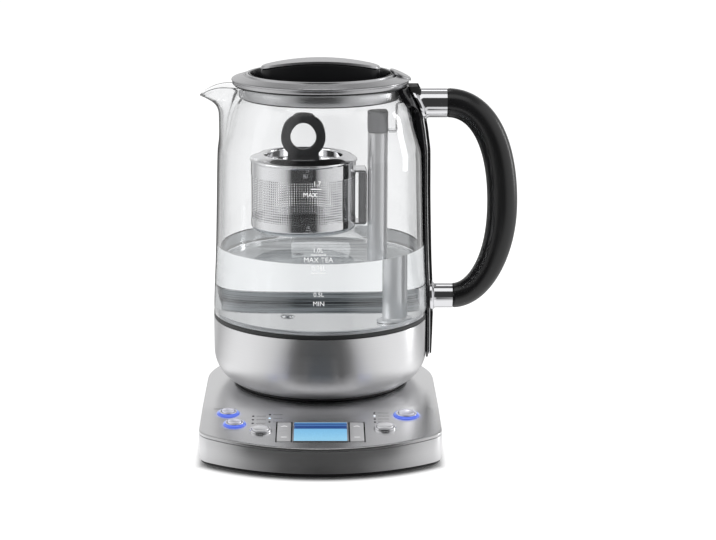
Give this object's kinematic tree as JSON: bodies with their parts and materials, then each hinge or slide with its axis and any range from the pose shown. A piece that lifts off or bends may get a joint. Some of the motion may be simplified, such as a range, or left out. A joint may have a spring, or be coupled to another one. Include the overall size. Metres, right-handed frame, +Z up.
{
  "type": "electric tea maker",
  "caption": "Electric glass tea maker: glass jug with steel band and D-shaped grip, lift-down mesh tea basket on a post, and a powered base with a button panel.",
  "frame": {"origin": "on the flat underside of the base tray, on the upright axis of the jug", "axes": "+Z up, -Y to the front with the control panel, +X to the handle, -X to the spout"},
  "size_m": [0.2206, 0.2373, 0.2532],
  "materials": {
    "brushed_steel": "brushed",
    "polished_steel": "polished",
    "chrome": "mirror polished",
    "grey_metal": "satin grey",
    "heater_tube": "dull",
    "black_plastic": "semi gloss",
    "grip_plastic": "satin",
    "grey_plastic": "satin",
    "dark_plastic": "matte",
    "rubber": "matte",
    "board_green": "matte",
    "display_blue": "backlit gloss",
    "light_guide": "clear gloss",
    "blue_ring": "backlit gloss",
    "button_silver": "silver",
    "clear_glass": "clear",
    "clear_plastic": "clear"
  },
  "bodies": {
    "base": {"base_tray": "black_plastic", "base_apron": "brushed_steel", "base_top_plate": "brushed_steel", "base_connector": "black_plastic", "cord_gland": "rubber", "foot_front_left": "rubber", "foot_front_right": "rubber", "foot_rear_left": "rubber", "foot_rear_right": "rubber", "control_board": "board_green", "display_module": "black_plastic", "display_window": "display_blue", "left_indicator_pins": "light_guide", "right_indicator_pins": "light_guide", "left_rear_button_ring": "blue_ring", "left_front_button_ring": "blue_ring", "left_centre_button_ring": "chrome", "right_centre_button_ring": "chrome", "start_button_ring": "blue_ring"},
    "connector": {"jug_connector": "black_plastic"},
    "jug": {"jug_bottom_cover": "black_plastic", "jug_band": "brushed_steel", "jug_seal": "rubber", "jug_glass": "clear_glass", "jug_floor": "polished_steel", "heating_element": "heater_tube", "temperature_probe": "polished_steel", "handle_spine": "black_plastic", "handle_trim": "chrome", "handle_rib": "black_plastic", "handle_tail": "black_plastic", "thumb_pad": "rubber", "handle_upper_arm": "chrome", "handle_lower_arm": "chrome", "handle_grip": "grip_plastic", "post_tube": "brushed_steel", "post_cap": "grey_plastic", "lift_motor": "dark_plastic", "post_bracket": "clear_plastic"},
    "screw": {"lead_screw": "polished_steel"},
    "nut": {"magnet_nut": "dark_plastic"},
    "basket": {"basket_shell": "polished_steel", "basket_carrier": "polished_steel", "carrier_magnet": "dark_plastic"},
    "basket_cover": {"basket_lid": "polished_steel", "basket_lid_ring": "dark_plastic"},
    "lid": {"lid_rim": "brushed_steel", "lid_seal": "rubber", "lid_skirt": "chrome", "lid_dish": "black_plastic", "lid_grip_bar": "black_plastic", "lid_grip_plate": "grey_metal", "lid_tab": "grey_metal"},
    "left_rear_push": {"left_rear_button": "button_silver"},
    "left_front_push": {"left_front_button": "button_silver"},
    "left_centre_push": {"left_centre_button": "button_silver"},
    "right_centre_push": {"right_centre_button": "button_silver"},
    "start_push": {"start_button": "button_silver"},
    "left_rocker": {"left_key": "button_silver"},
    "right_rocker": {"right_key": "button_silver"}
  },
  "joints": [
    {"name": "jug_lift", "type": "slide", "parent": "base", "child": "connector", "axis": [0, 0, 1], "range_m": [0, 0.12]},
    {"name": "jug_turn", "type": "hinge", "parent": "connector", "child": "jug", "pos_m": [0, 0, 0.0248], "axis": [0, 0, 1], "continuous": true},
    {"name": "lid_lift", "type": "slide", "parent": "jug", "child": "lid", "axis": [0, 0, 1], "range_m": [0, 0.06]},
    {"name": "basket_lift", "type": "slide", "parent": "jug", "child": "basket", "axis": [0, 0, 1], "range_m": [-0.054, 0]},
    {"name": "nut_travel", "type": "slide", "parent": "jug", "child": "nut", "axis": [0, 0, 1], "range_m": [-0.055, 0.001]},
    {"name": "screw_turn", "type": "hinge", "parent": "jug", "child": "screw", "pos_m": [0.0398, 0, 0.0588], "axis": [0, 0, 1], "range_deg": [-2440, 10]},
    {"name": "basket_cover_lift", "type": "slide", "parent": "basket", "child": "basket_cover", "axis": [0, 0, 1], "range_m": [0, 0.008]},
    {"name": "left_rear_press", "type": "slide", "parent": "base", "child": "left_rear_push", "axis": [0, 0.0583, -0.9983], "range_m": [0, 0.001], "stiffness_N_per_m": 1200, "springref_m": -0.0008},
    {"name": "left_front_press", "type": "slide", "parent": "base", "child": "left_front_push", "axis": [0, 0.0583, -0.9983], "range_m": [0, 0.001], "stiffness_N_per_m": 1200, "springref_m": -0.0008},
    {"name": "left_centre_press", "type": "slide", "parent": "base", "child": "left_centre_push", "axis": [0, 0.0583, -0.9983], "range_m": [0, 0.001], "stiffness_N_per_m": 1200, "springref_m": -0.0008},
    {"name": "right_centre_press", "type": "slide", "parent": "base", "child": "right_centre_push", "axis": [0, 0.0583, -0.9983], "range_m": [0, 0.001], "stiffness_N_per_m": 1200, "springref_m": -0.0008},
    {"name": "start_press", "type": "slide", "parent": "base", "child": "start_push", "axis": [0, 0.0583, -0.9983], "range_m": [0, 0.001], "stiffness_N_per_m": 1200, "springref_m": -0.0008},
    {"name": "left_rock", "type": "hinge", "parent": "base", "child": "left_rocker", "pos_m": [-0.0239, -0.12099, 0.01781], "axis": [1, 0, 0], "range_deg": [-3, 3], "stiffness_Nm_per_rad": 0.2},
    {"name": "right_rock", "type": "hinge", "parent": "base", "child": "right_rocker", "pos_m": [0.0239, -0.12099, 0.01781], "axis": [1, 0, 0], "range_deg": [-3, 3], "stiffness_Nm_per_rad": 0.2}
  ],
  "couplings": [
    {"joint": "nut_travel", "follows": "basket_lift", "ratio": 1},
    {"joint": "screw_turn", "follows": "basket_lift", "rad_per_m": 785.4}
  ]
}
